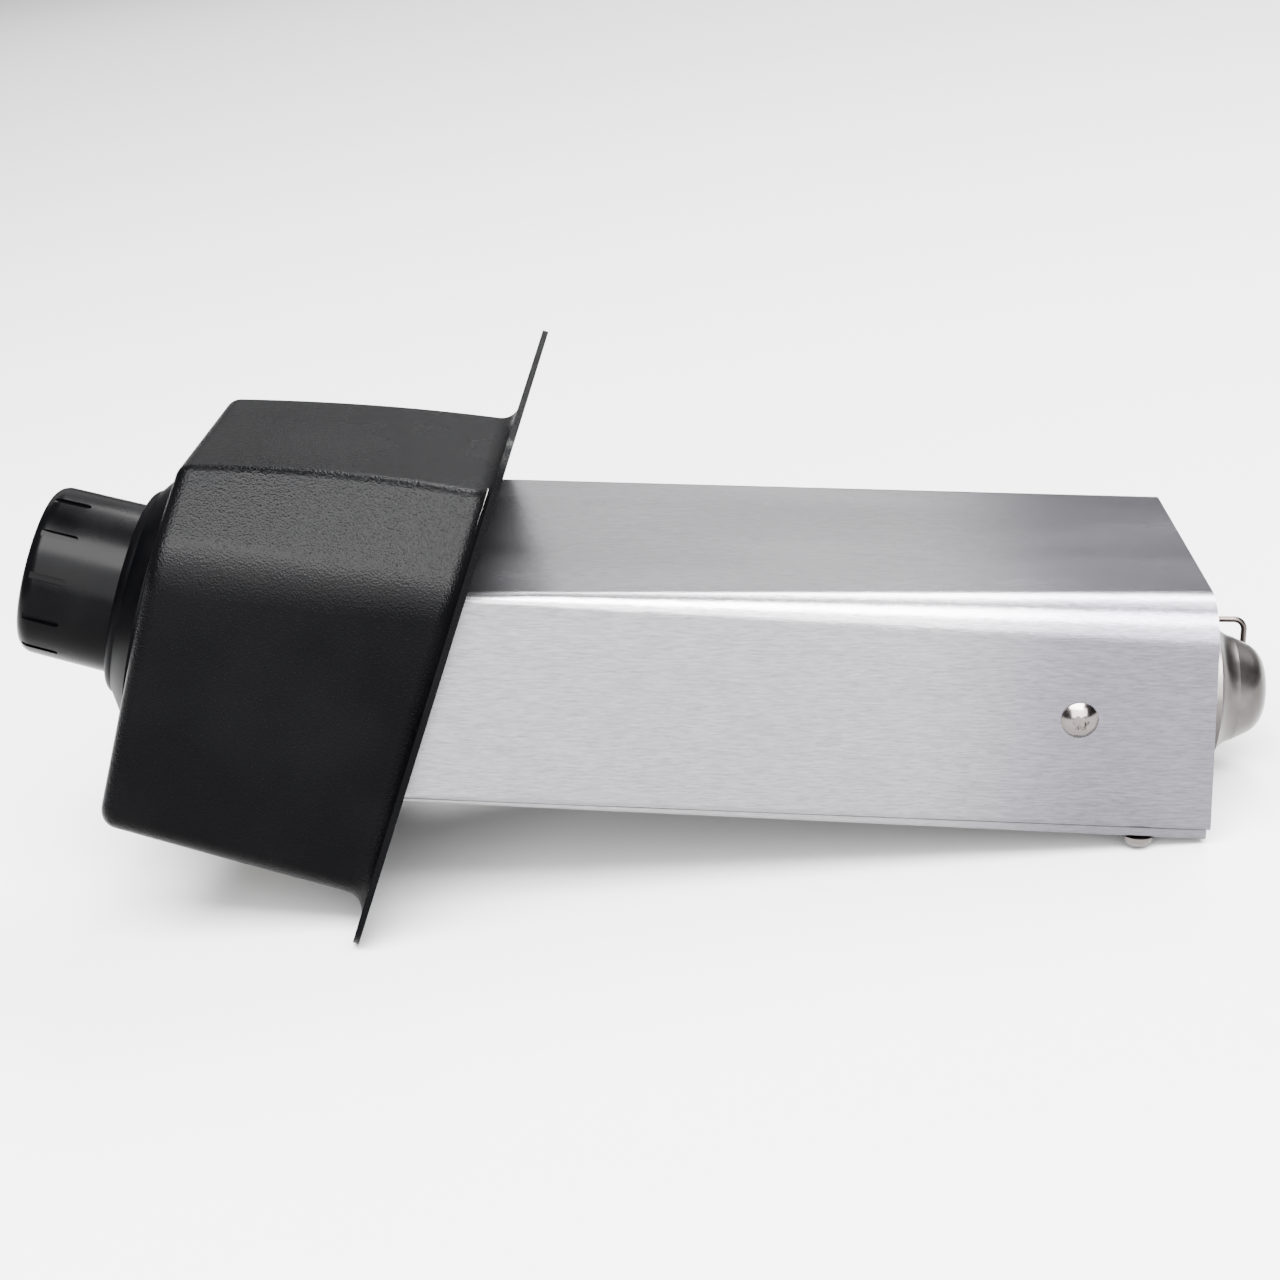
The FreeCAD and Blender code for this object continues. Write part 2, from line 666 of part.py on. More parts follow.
def igniter():
    lip_z = VALVE_TOP + BRACKET_THICK
    case = joined([
        igniter_block(0, IGNITER_BACK, IGNITER_TOP),
        igniter_block(1.6, lip_z, lip_z + 1.5),
        igniter_rod(2.2, 4, IGNITER_BACK - 6, IGNITER_BACK + 1),
    ])
    return case.cut(igniter_rod(PLUNGER_RADIUS + RUN_GAP, 0, 53.5, 70))


def igniter_plunger():
    return igniter_rod(PLUNGER_RADIUS, 0, 58, COLLAR_BACK - 0.1)


def inlet_fitting():
    def at(x):
        return Vector(x, 0, INLET_OUT)

    body = joined([
        rod(5.0, at(INLET_TOP + 3.9), at(INLET_TOP - 2)),
        rod(7.0, at(INLET_TOP - 0.1), at(INLET_TOP - 16)),
        rod(INLET_BODY, at(INLET_TOP - 15), at(INLET_FACE)),
        rod(11.0, at(INLET_FACE + 1.2), at(INLET_FACE)),
    ])
    bore = rod(INLET_THREAD, at(INLET_FACE + INLET_DEPTH), at(INLET_FACE - 1))
    passage = rod(2.0, at(INLET_TOP + 5), at(INLET_FACE))
    return body.cut([bore, passage])


def inlet_nut():
    nut = hexagon(24, 0, 5.0)
    nut = nut.cut(Part.makeCylinder(INLET_BODY + RUN_GAP, 10, Vector(0, 0, -1)))
    return placed(nut, Vector(INLET_NUT_X, 0, INLET_OUT), Vector(1, 0, 0))


# ---- burner box, along X ----------------------------------------------------------------------

def along_duct(pair, x):
    """Value at x of a measure given at the flange and at the far end."""
    return pair[0] + (pair[1] - pair[0]) * x / DUCT_LENGTH


def duct_floor(x):
    return along_duct(DUCT_FLOOR, x)


def duct_section(x, inset):
    """Rounded outline of the box at x, drawn in by an inset."""
    top = along_duct(DUCT_TOP, x) - inset
    floor = duct_floor(x) + inset
    half = DUCT_HALF - inset
    top_bend = max(along_duct(TOP_BEND, x) - inset, 0.5)
    floor_bend = max(FLOOR_BEND - inset, 0.5)
    corners = [
        (-half, top, top_bend),
        (half, top, top_bend),
        (half, floor, floor_bend),
        (-half, floor, floor_bend),
    ]
    return rounded_wire(corners, lambda y, z: Vector(x, y, z))


def duct(x0, x1, inset):
    return Part.makeLoft([duct_section(x0, inset), duct_section(x1, inset)], True, True)


def block_between(x0, x1, half, low_of, high_of):
    """Straight-sided block whose heights follow the box's taper."""
    wires = []
    for x in (x0, x1):
        low = low_of(x)
        high = high_of(x)
        corners = [(-half, low), (half, low), (half, high), (-half, high), (-half, low)]
        wires.append(Part.makePolygon([Vector(x, y, z) for y, z in corners]))
    return Part.makeLoft(wires, True, True)


def beyond_flange(gap):
    """Everything on the knob's side of the flange's back face."""
    return turned(box(-200, 200, -200, 200, -gap, 300))


def beyond_end(back):
    """Everything past the box's leaning end, or past a plane a little inside it."""
    tool = box(-back, 100, -200, 200, -150, 150)
    tool.rotate(Vector(0, 0, 0), Vector(0, 1, 0), -END_LEAN)
    tool.translate(Vector(END_TOP_X, 0, DUCT_TOP[1]))
    return tool


def body_cover():
    shell = duct(-35, 230, 0).cut(duct(-36, 231, SHEET))
    half = DUCT_HALF - RETURN_WIDTH
    gap = block_between(-36, 231, half, lambda x: duct_floor(x) - 2, lambda x: duct_floor(x) + 2)
    shell = shell.cut(gap)
    tabs = []
    for x, y, half_x, half_y in duct_slot_points():
        tab = turned(box(x - half_x, x + half_x, y - half_y + 0.4, y + half_y - 0.4, -0.5, 3.4))
        tabs.append(shell.common(tab))
    shell = shell.cut([beyond_flange(0), beyond_end(0)])
    shell = shell.fuse(tabs).removeSplitter()
    holes = []
    for side in (-1, 1):
        place = side_screw_place(side)
        holes.append(rod(2.8, place - Vector(0, 5, 0), place + Vector(0, 5, 0)))
        foot = base_screw_place(side)
        holes.append(rod(2.3, foot, foot + Vector(0, 0, 12)))
    return shell.cut(holes)


def tray_floor(x):
    return duct_floor(x) - along_duct(TRAY_DROP, x)


def body_base():
    """Shallow tray under the cover's turned-in edges."""
    half = DUCT_HALF - TRAY_EDGE
    outer = block_between(-30, TRAY_END_X, half, tray_floor, duct_floor)
    lower = []
    for side in outer.Edges:
        bounds = side.BoundBox
        if bounds.XLength > 100 and side.CenterOfMass.z < tray_floor(DUCT_LENGTH / 2) + 1:
            lower.append(side)
    outer = outer.makeFillet(0.8, lower)
    inner = block_between(-31, TRAY_END_X + 1, half - SHEET,
                          lambda x: tray_floor(x) + SHEET, lambda x: duct_floor(x) + 1)
    tray = outer.cut([inner, beyond_flange(0)])
    cuts = []
    for step in range(6):
        x = 34 + 6 * step
        cuts.append(box(x, x + 3, -16, 16, -60, -30))
    for side in (-1, 1):
        foot = base_screw_place(side)
        cuts.append(rod(2.3, foot - Vector(0, 0, 5), foot + Vector(0, 0, 5)))
        y = side * TUBE_SCREW_Y
        cuts.append(rod(2.2, Vector(TUBE_BRACKET_X, y, -60), Vector(TUBE_BRACKET_X, y, -30)))
    return tray.cut(cuts)


def side_screw_place(side):
    """Seat of a side screw on the cover."""
    x, z = SIDE_SCREW
    return Vector(x, side * DUCT_HALF, z)


def base_screw_place(side):
    """Seat of a base screw on the tray's underside."""
    x, inward = BASE_SCREW
    return Vector(x, side * (DUCT_HALF - inward), tray_floor(x))


def side_screws():
    screw = dome_screw(2.45, 8.0, 5.0, 2.75)
    places = [(side_screw_place(side), Vector(0, side, 0)) for side in (-1, 1)]
    return Part.makeCompound([placed(screw, place, outward) for place, outward in places])


def base_screws():
    screw = dome_screw(1.95, 9.0, 4.6, 4.0)
    seats = [base_screw_place(side) + Vector(0, 0, -0.3) for side in (-1, 1)]
    return screws_at(screw, seats, Vector(0, 0, -1))


def end_panel():
    gap = SHEET + 0.15
    outside = duct(PANEL_ARM_X, PANEL_FACE_X, gap)
    inside = duct(PANEL_ARM_X - 1, PANEL_FACE_X - PANEL_THICK, gap + PANEL_THICK)
    panel = outside.cut(inside)
    back = PANEL_FACE_X - PANEL_THICK
    panel = panel.cut([
        box(PANEL_ARM_X - 1, back - 12, -60, 60, 8, 40),
        box(PANEL_ARM_X - 1, back - 12, -60, 60, -60, -26),
        box(PANEL_ARM_X - 1, back - 12, -36, 36, -60, 60),
    ])
    holes = [burner_rod(13.0, 200, 212)]
    for side in (-1, 1):
        place = side_screw_place(side)
        holes.append(rod(2.55, place - Vector(0, 9, 0), place + Vector(0, 9, 0)))
        foot = base_screw_place(side)
        holes.append(rod(2.05, foot, foot + Vector(0, 0, 12)))
    for y, z in (SPARK_LINE, SENSOR_LINE):
        holes.append(rod(3.1, Vector(200, y, z), Vector(212, y, z)))
    for y, z in nozzle_screw_places():
        holes.append(rod(2.1, Vector(200, y, z), Vector(212, y, z)))
    return panel.cut(holes)


def heat_insulation():
    """Fibre pad behind the plate, inside the box."""
    slab = turned(box(-100, 100, -100, 100, -12, -0.2))
    pad = duct(-35, 60, SHEET + 0.3).common(slab)
    holes = [
        turned(rod(9.0, Vector(KNOB_X, 0, -30), Vector(KNOB_X, 0, 10))),
        turned(rod(4.0, lead_point(0, -30), lead_point(0, 10))),
    ]
    return pad.cut(holes)


# ---- burner line ------------------------------------------------------------------------------

def burner_rod(radius, x0, x1):
    return rod(radius, Vector(x0, 0, BURNER_Z), Vector(x1, 0, BURNER_Z))


def air_windows(radius_in, radius_out, x0, x1):
    """Four ports around the burner line, as cutting blocks."""
    blocks = []
    for quarter in range(4):
        block = box(x0, x1, radius_in, radius_out, -5.5, 5.5)
        block.rotate(Vector(0, 0, 0), Vector(1, 0, 0), 45 + 90 * quarter)
        block.translate(Vector(0, 0, BURNER_Z))
        blocks.append(block)
    return blocks


def mixing_tube():
    """Venturi: a cup with air ports, a cone and a straight tube."""
    x0, x1 = HEAD_X
    wall = TUBE_WALL
    head = Vector(x1, 0, BURNER_Z)
    throat = Vector(THROAT_X, 0, BURNER_Z)
    outside = [
        burner_rod(HEAD_OUTER, x0, x1),
        taper(HEAD_OUTER, TUBE_OUTER, head, throat),
        burner_rod(TUBE_OUTER, THROAT_X, TUBE_END_X),
    ]
    inside = [
        burner_rod(HEAD_OUTER - wall, x0 + 2, x1),
        taper(HEAD_OUTER - wall, TUBE_OUTER - wall, head, throat),
        burner_rod(TUBE_OUTER - wall, THROAT_X, TUBE_END_X + 1),
    ]
    tube = joined(outside).cut(joined(inside))
    cuts = air_windows(HEAD_OUTER - 4, HEAD_OUTER + 2, 41, 51)
    cuts.append(burner_rod(5.1, x0 - 1, x0 + 3))
    return tube.cut(cuts)


def air_shutter():
    x0, x1 = SHUTTER_X
    sleeve = burner_rod(HEAD_OUTER + 1.3, x0, x1).cut(burner_rod(HEAD_OUTER + RUN_GAP, x0, x1))
    tab = box(x0 + 4, x0 + 12, -0.8, 0.8, BURNER_Z + HEAD_OUTER + 0.6, BURNER_Z + HEAD_OUTER + 9)
    sleeve = sleeve.fuse(tab).removeSplitter()
    return sleeve.cut(air_windows(HEAD_OUTER - 4, HEAD_OUTER + 4, 41.5, 50.5))


def pipe_route():
    """Corners of the gas pipe from the valve to the jet holder."""
    start = TURN_CONTROL.multVec(Vector(KNOB_X, 0, VALVE_BACK + 5))
    out = TURN_CONTROL.Rotation.multVec(Vector(0, 0, -1))
    reach = (BURNER_Z - start.z) / out.z
    return [start, start + out * reach, Vector(24, 0, BURNER_Z)]


def gas_pipe():
    points = pipe_route()
    outside = bent_rod(points, 3.0, 40.0)
    inside = bent_rod(points, 2.2, 40.0)
    return outside.cut(inside)


def jet_holder():
    nut = hexagon(17, 18, 31.5)
    body = placed(nut, Vector(0, 0, BURNER_Z), Vector(1, 0, 0))
    body = joined([body, burner_rod(5.0, 31, 37)])
    return body.cut([burner_rod(3.1, 17, 24.5), burner_rod(1.5, 24, 30), burner_rod(2.6, 30, 38)])


def gas_jet():
    stub = burner_rod(2.5, 30.5, 37)
    head = placed(hexagon(7, 37, 40.5), Vector(0, 0, BURNER_Z), Vector(1, 0, 0))
    nose = taper(2.8, 1.6, Vector(40.5, 0, BURNER_Z), Vector(44, 0, BURNER_Z))
    jet = joined([stub, head, nose])
    return jet.cut([burner_rod(1.6, 30, 42), burner_rod(0.45, 41, 45)])


def tube_bracket():
    """Saddle that carries the tube on the tray."""
    x = TUBE_BRACKET_X
    floor = tray_floor(x) + SHEET + 0.1
    ring = burner_rod(TUBE_OUTER + 1.6, x - 6, x + 6)
    post = box(x - 6, x + 6, -10, 10, floor, BURNER_Z)
    foot = box(x - 6, x + 6, -TUBE_SCREW_Y - 6, TUBE_SCREW_Y + 6, floor, floor + 1.6)
    slope = math.degrees(math.atan((tray_floor(0) - tray_floor(DUCT_LENGTH)) / DUCT_LENGTH))
    bracket = joined([ring, post, foot])
    window = box(x - 7, x + 7, -7, 7, floor + 1.6, BURNER_Z - 13.5)
    bracket = bracket.cut([burner_rod(TUBE_OUTER + 0.02, x - 7, x + 7), window])
    wedge = box(x - 20, x + 20, -40, 40, -20, 0)
    wedge.translate(Vector(-x, 0, 0))
    wedge.rotate(Vector(0, 0, 0), Vector(0, 1, 0), slope)
    wedge.translate(Vector(x, 0, tray_floor(x) + SHEET + 0.5))
    holes = [rod(2.05, Vector(x, y, -60), Vector(x, y, -35)) for y in (TUBE_SCREW_Y, -TUBE_SCREW_Y)]
    return bracket.cut(holes + [wedge])


def tube_screws():
    x = TUBE_BRACKET_X
    seats = [Vector(x, y, tray_floor(x) - 0.25) for y in (TUBE_SCREW_Y, -TUBE_SCREW_Y)]
    return screws_at(dome_screw(1.95, 6.0, 3.6, 1.9), seats, Vector(0, 0, -1))


def nozzle_profile(shrink):
    """Outline of the nozzle's bell from its back to its tip, at a distance inside the surface."""
    back = PANEL_FACE_X + 0.1 + shrink
    skirt = NOZZLE_SKIRT - shrink
    tip = NOZZLE_TIP_X - shrink
    lean = shrink * 0.6
    flare = (
        Vector(218.4 - lean, 0, skirt),
        Vector(220.6 - lean, 0, 17.3 - lean),
        Vector(224.6 - lean * 0.4, 0, 15.1 - shrink),
    )
    nose = (
        Vector(228.4 - lean * 0.2, 0, 13.3 - shrink),
        Vector(232.1 - shrink * 0.8, 0, 10.4 - shrink * 0.8),
        Vector(tip, 0, 5.4 - shrink * 0.3),
    )
    return [
        line(Vector(back, 0, 0), Vector(back, 0, skirt)),
        line(Vector(back, 0, skirt), flare[0]),
        Part.Arc(*flare),
        line(flare[2], nose[0]),
        Part.Arc(*nose),
        line(nose[2], Vector(tip, 0, 0)),
        line(Vector(tip, 0, 0), Vector(back, 0, 0)),
    ]


def nozzle_screw_places():
    places = []
    for angle in NOZZLE_SCREW_ANGLES:
        turn = math.radians(angle)
        y = NOZZLE_SCREW_RADIUS * math.cos(turn)
        places.append((y, BURNER_Z + NOZZLE_SCREW_RADIUS * math.sin(turn)))
    return places


def burner_nozzle():
    outside = revolved(nozzle_profile(0), Vector(0, 0, 0), Vector(1, 0, 0))
    inside = revolved(nozzle_profile(NOZZLE_WALL), Vector(0, 0, 0), Vector(1, 0, 0))
    mouth = box(0, 40, -40, 40, -40, 40)
    mouth.rotate(Vector(0, 0, 0), Vector(0, 0, 1), MOUTH_TURN)
    mouth.translate(Vector(NOZZLE_TIP_X + 0.2, 0, 0))
    bell = outside.cut([inside, mouth])
    bell.translate(Vector(0, 0, BURNER_Z))
    cuts = [burner_rod(TUBE_OUTER + 0.05, 200, 214)]
    for y, z in (SPARK_LINE, SENSOR_LINE):
        cuts.append(rod(4.0, Vector(200, y, z), Vector(226, y, z)))
    for y, z in nozzle_screw_places():
        cuts.append(rod(2.05, Vector(200, y, z), Vector(213, y, z)))
    return bell.cut(cuts)


def nozzle_screws():
    screw = dome_screw(1.95, 4.0, 3.4, 2.0)
    seat = PANEL_FACE_X - PANEL_THICK
    places = [Vector(seat, y, z) for y, z in nozzle_screw_places()]
    return screws_at(screw, places, Vector(-1, 0, 0))


def electrode_wire():
    y, z = SPARK_LINE
    points = [Vector(184, y, z), Vector(WIRE_END_X, y, z), Vector(WIRE_END_X, y, z - WIRE_DROP)]
    return bent_rod(points, WIRE_RADIUS, 3.2)


def electrode_holder():
    """Ceramic tube round the wire, with a shoulder behind the panel."""
    y, z = SPARK_LINE
    tube = rod(3.0, Vector(190, y, z), Vector(216, y, z))
    shoulder = rod(4.5, Vector(202, y, z), Vector(PANEL_FACE_X - PANEL_THICK, y, z))
    bore = rod(WIRE_RADIUS + 0.02, Vector(189, y, z), Vector(217, y, z))
    return joined([tube, shoulder]).cut(bore)


def thermocouple():
    """Flame sensor and its thin tube, run back along the box to the valve."""
    y, z = SENSOR_LINE
    tip = joined([
        rod(2.4, Vector(180, y, z), Vector(222, y, z)),
        rod(3.0, Vector(184, y, z), Vector(204, y, z)),
    ])
    port = TURN_CONTROL.multVec(Vector(KNOB_X + 6, VALVE_HALF - 3, 24))
    outlet = TURN_CONTROL.multVec(Vector(KNOB_X + 6, VALVE_HALF + 12, 24))
    before = TURN.multVec(lead_point(-1.6, 10))
    behind = TURN.multVec(lead_point(-1.6, -14))
    along = [Vector(70, IGNITER_Y, -26), Vector(160, y, z), Vector(182, y, z)]
    tube = bent_rod([port, outlet, before, behind] + along, 1.0, 6.0)
    return joined([tip, tube])


def igniter_lead():
    """Lead from the igniter's post along the box to the back of the electrode."""
    post = TURN_CONTROL.multVec(Vector(KNOB_X + 4, IGNITER_Y, IGNITER_BACK - 6.1))
    bend_one = TURN_CONTROL.multVec(Vector(KNOB_X + 4, IGNITER_Y, 24))
    bend_two = TURN.multVec(lead_point(1.8, 10))
    behind = TURN.multVec(lead_point(1.8, -14))
    y, z = SPARK_LINE
    along = [Vector(80, IGNITER_Y, 6), Vector(160, y, z), Vector(183.9, y, z)]
    return bent_rod([post, bend_one, bend_two, behind] + along, 1.5, 7.0)


# ---- write every piece ------------------------------------------------------------------------

FLANGE_SPACE_PARTS = {
    "control_housing": control_housing,
    "mounting_plate": mounting_plate,
    "plate_gasket": plate_gasket,
    "plate_screws": plate_screws,
    "valve_body": valve_body,
    "valve_bracket": valve_bracket,
    "bracket_screws": bracket_screws,
    "inlet_fitting": inlet_fitting,
    "inlet_nut": inlet_nut,
}

CONTROL_SPACE_PARTS = {
    "bezel_ring": bezel_ring,
    "bezel_screws": bezel_screws,
    "control_knob": control_knob,
    "knob_insert": knob_insert,
    "valve_stem": valve_stem,
    "push_collar": push_collar,
    "stem_spring": stem_spring,
    "valve_plug": valve_plug,
    "stem_nut": stem_nut,
    "igniter": igniter,
    "igniter_plunger": igniter_plunger,
}

ROW_SPACE_PARTS = {
    "body_cover": body_cover,
    "body_base": body_base,
    "side_screws": side_screws,
    "base_screws": base_screws,
    "end_panel": end_panel,
    "heat_insulation": heat_insulation,
    "mixing_tube": mixing_tube,
    "air_shutter": air_shutter,
    "gas_pipe": gas_pipe,
    "jet_holder": jet_holder,
    "gas_jet": gas_jet,
    "tube_bracket": tube_bracket,
    "tube_screws": tube_screws,
    "burner_nozzle": burner_nozzle,
    "nozzle_screws": nozzle_screws,
    "electrode_wire": electrode_wire,
    "electrode_holder": electrode_holder,
    "thermocouple": thermocouple,
    "igniter_lead": igniter_lead,
}

os.makedirs("parts", exist_ok=True)
for name, make in FLANGE_SPACE_PARTS.items():
    export(name, turned(make()))
for name, make in CONTROL_SPACE_PARTS.items():
    export(name, turned(tipped(make())))
for name, make in ROW_SPACE_PARTS.items():
    export(name, make())
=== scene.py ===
import json
import math

import bpy
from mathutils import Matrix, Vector


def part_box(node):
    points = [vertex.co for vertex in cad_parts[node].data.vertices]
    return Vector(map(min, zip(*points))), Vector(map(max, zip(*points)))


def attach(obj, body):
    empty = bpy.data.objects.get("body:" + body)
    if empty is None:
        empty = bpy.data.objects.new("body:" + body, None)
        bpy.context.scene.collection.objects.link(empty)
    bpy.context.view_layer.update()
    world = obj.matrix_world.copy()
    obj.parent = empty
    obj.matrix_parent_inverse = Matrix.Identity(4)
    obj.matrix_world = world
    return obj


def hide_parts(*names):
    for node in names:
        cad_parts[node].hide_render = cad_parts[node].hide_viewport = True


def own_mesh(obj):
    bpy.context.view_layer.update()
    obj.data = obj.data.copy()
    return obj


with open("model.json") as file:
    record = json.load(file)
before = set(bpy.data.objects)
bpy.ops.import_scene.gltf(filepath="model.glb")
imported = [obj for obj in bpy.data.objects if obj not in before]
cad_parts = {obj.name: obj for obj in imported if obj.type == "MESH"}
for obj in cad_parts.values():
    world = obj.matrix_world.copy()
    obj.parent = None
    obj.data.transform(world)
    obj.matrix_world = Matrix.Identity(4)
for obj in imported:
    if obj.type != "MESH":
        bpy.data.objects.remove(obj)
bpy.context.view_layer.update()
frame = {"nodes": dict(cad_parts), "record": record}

# Where the parts are, in metres, read from the frame
HOUSING_LOW, HOUSING_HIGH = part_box("control_housing")
SCREW_LOW, SCREW_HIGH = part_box("base_screws")

# The flange leans, and along X its lower edge is this far behind its upper edge, in metres
LOWER_EDGE_BACK = 0.0458

# Camera: place in metres, pitch up from straight down and turn, both in degrees
LENS_MM = 68.3
CAMERA_PLACE = (0.0753, -0.6649, 0.2372)
CAMERA_PITCH = 70.0
CAMERA_TURN = 1.93

# Floor: side in metres, grey, and gap in metres under the points that stand on it
FLOOR_SIZE = 14.0
FLOOR_SHADE = 0.30
FLOOR_GAP = 0.0004

# Area lights: place, target, width and height in metres, then power in watts
PART = (0.04, 0.0, 0.0)
LIGHTS = {
    "overhead_front": ((-0.2, -0.94, 1.70), PART, (2.2, 1.05), 700.0),
    "overhead_right": ((0.85, 0.55, 1.85), PART, (1.3, 1.1), 150.0),
    "front_wall": ((0.1, -2.3, 1.20), PART, (3.6, 2.3), 660.0),
    # Kept to the left, so that the flange's back and the box's far end stay darker
    "rear_panel": ((-1.0, 3.5, 1.65), (-0.3, 0.0, 0.0), (3.5, 1.7), 35.0),
    "floor_wash": ((0.8, 3.0, 3.8), (-0.5, 2.5, 0.0), (2.4, 1.2), 900.0),
}
SURROUND_COLOUR = (0.98, 0.96, 1.0)
SURROUND_STRENGTH = 0.12

# Brushed sheets: darkest and lightest colour, lowest and highest roughness
SHEETS = {
    "brushed_cover": ((0.120, 0.117, 0.125), (0.205, 0.201, 0.213), 0.23, 0.28),
    "brushed_base": ((0.120, 0.118, 0.123), (0.190, 0.187, 0.194), 0.27, 0.33),
    "panel_steel": ((0.42, 0.42, 0.43), (0.52, 0.52, 0.53), 0.32, 0.42),
}
# Painted shade: the sheets turn to this darker tint of their colour between two places along X,
# in metres, towards the nozzle end
PAINTED_SHADE_TINT = (0.58, 0.58, 0.63)
PAINTED_SHADE_START = 0.125
PAINTED_SHADE_END = 0.180

# Smooth blacks: roughness and specular level
SATIN_BLACKS = {
    "bezel_black": (0.38, 0.014),
    "knob_black": (0.26, 0.022),
    "plate_black": (0.55, 0.012),
}
BLACK = (0.0005, 0.0005, 0.0006)
BLACK_DARK = (0.0003, 0.0003, 0.0004)
BLACK_LIGHT = (0.0007, 0.0007, 0.0008)

# Other metals: darkest and lightest colour, roughness, grains to the metre, grain depth in metres
METALS = {
    "plate_steel": ((0.42, 0.42, 0.43), (0.55, 0.55, 0.56), 0.34, 900.0, 0.00001),
    "tube_steel": ((0.38, 0.37, 0.36), (0.50, 0.49, 0.48), 0.36, 900.0, 0.00001),
    "screw_steel": ((0.085, 0.075, 0.071), (0.14, 0.125, 0.12), 0.19, 2200.0, 0.000004),
    "cast_nozzle": ((0.036, 0.033, 0.032), (0.085, 0.078, 0.075), 0.30, 2600.0, 0.000016),
    "electrode_metal": ((0.03, 0.024, 0.022), (0.06, 0.05, 0.046), 0.26, 1800.0, 0.00001),
    "brass": ((0.60, 0.43, 0.19), (0.74, 0.56, 0.29), 0.28, 1500.0, 0.000008),
    "copper_pipe": ((0.58, 0.32, 0.21), (0.72, 0.44, 0.30), 0.30, 1200.0, 0.00001),
}

# Non-metals, with the same values as the metals
MATTS = {
    "gasket_grey": ((0.22, 0.21, 0.20), (0.38, 0.37, 0.35), 0.85, 900.0, 0.0001),
    "fibre": ((0.60, 0.58, 0.52), (0.80, 0.78, 0.72), 0.9, 600.0, 0.0003),
    "ceramic_white": ((0.76, 0.74, 0.68), (0.86, 0.84, 0.79), 0.25, 700.0, 0.00001),
    "igniter_case": ((0.02, 0.02, 0.02), (0.035, 0.035, 0.035), 0.5, 900.0, 0.00003),
    "igniter_plunger_white": ((0.66, 0.65, 0.61), (0.76, 0.75, 0.71), 0.45, 700.0, 0.00001),
    "lead_sleeve": ((0.30, 0.03, 0.03), (0.42, 0.05, 0.045), 0.55, 800.0, 0.00002),
}


# ---- camera, floor and light -----------------------------------------------------------------

def make_camera():
    data = bpy.data.cameras.new("camera")
    data.sensor_width = 36.0
    data.lens = LENS_MM
    camera = bpy.data.objects.new("camera", data)
    camera.location = CAMERA_PLACE
    camera.rotation_euler = (math.radians(CAMERA_PITCH), 0.0, math.radians(CAMERA_TURN))
    bpy.context.collection.objects.link(camera)
    bpy.context.scene.camera = camera


def floor_plane():
    """Point and slope of the plane under the flange's lower edge and the base screws."""
    front = Vector((HOUSING_HIGH[0] - LOWER_EDGE_BACK, 0, HOUSING_LOW[2]))
    back = Vector(((SCREW_LOW[0] + SCREW_HIGH[0]) / 2, 0, SCREW_LOW[2]))
    slope = math.atan2(back.z - front.z, back.x - front.x)
    return front, slope


def make_floor():
    point, slope = floor_plane()
    bpy.ops.mesh.primitive_grid_add(x_subdivisions=4, y_subdivisions=4, size=1.0)
    floor = bpy.context.object
    floor.name = "floor"
    floor.scale = (FLOOR_SIZE, FLOOR_SIZE, 1.0)
    floor.rotation_euler = (0.0, -slope, 0.0)
    up = Vector((-math.sin(slope), 0.0, math.cos(slope)))
    floor.location = point - up * FLOOR_GAP
    paper = Surface("floor", (FLOOR_SHADE, FLOOR_SHADE, FLOOR_SHADE), 0.0, 0.9)
    paper.set("Specular IOR Level", 0.0)
    floor.data.materials.append(paper.material)


def area_light(name, place, target, size, power):
    data = bpy.data.lights.new(name, "AREA")
    data.shape = "RECTANGLE"
    data.size, data.size_y = size
    data.energy = power
    light = bpy.data.objects.new(name, data)
    light.location = place
    aim = Vector(target) - Vector(place)
    light.rotation_euler = aim.to_track_quat("-Z", "Y").to_euler()
    bpy.context.collection.objects.link(light)


def make_lights():
    for name, (place, target, size, power) in LIGHTS.items():
        area_light(name, place, target, size, power)
    world = bpy.data.worlds.new("studio")
    bpy.context.scene.world = world
    world.use_nodes = True
    background = world.node_tree.nodes["Background"]
    background.inputs["Color"].default_value = (*SURROUND_COLOUR, 1.0)
    background.inputs["Strength"].default_value = SURROUND_STRENGTH


# ---- materials -------------------------------------------------------------------------------

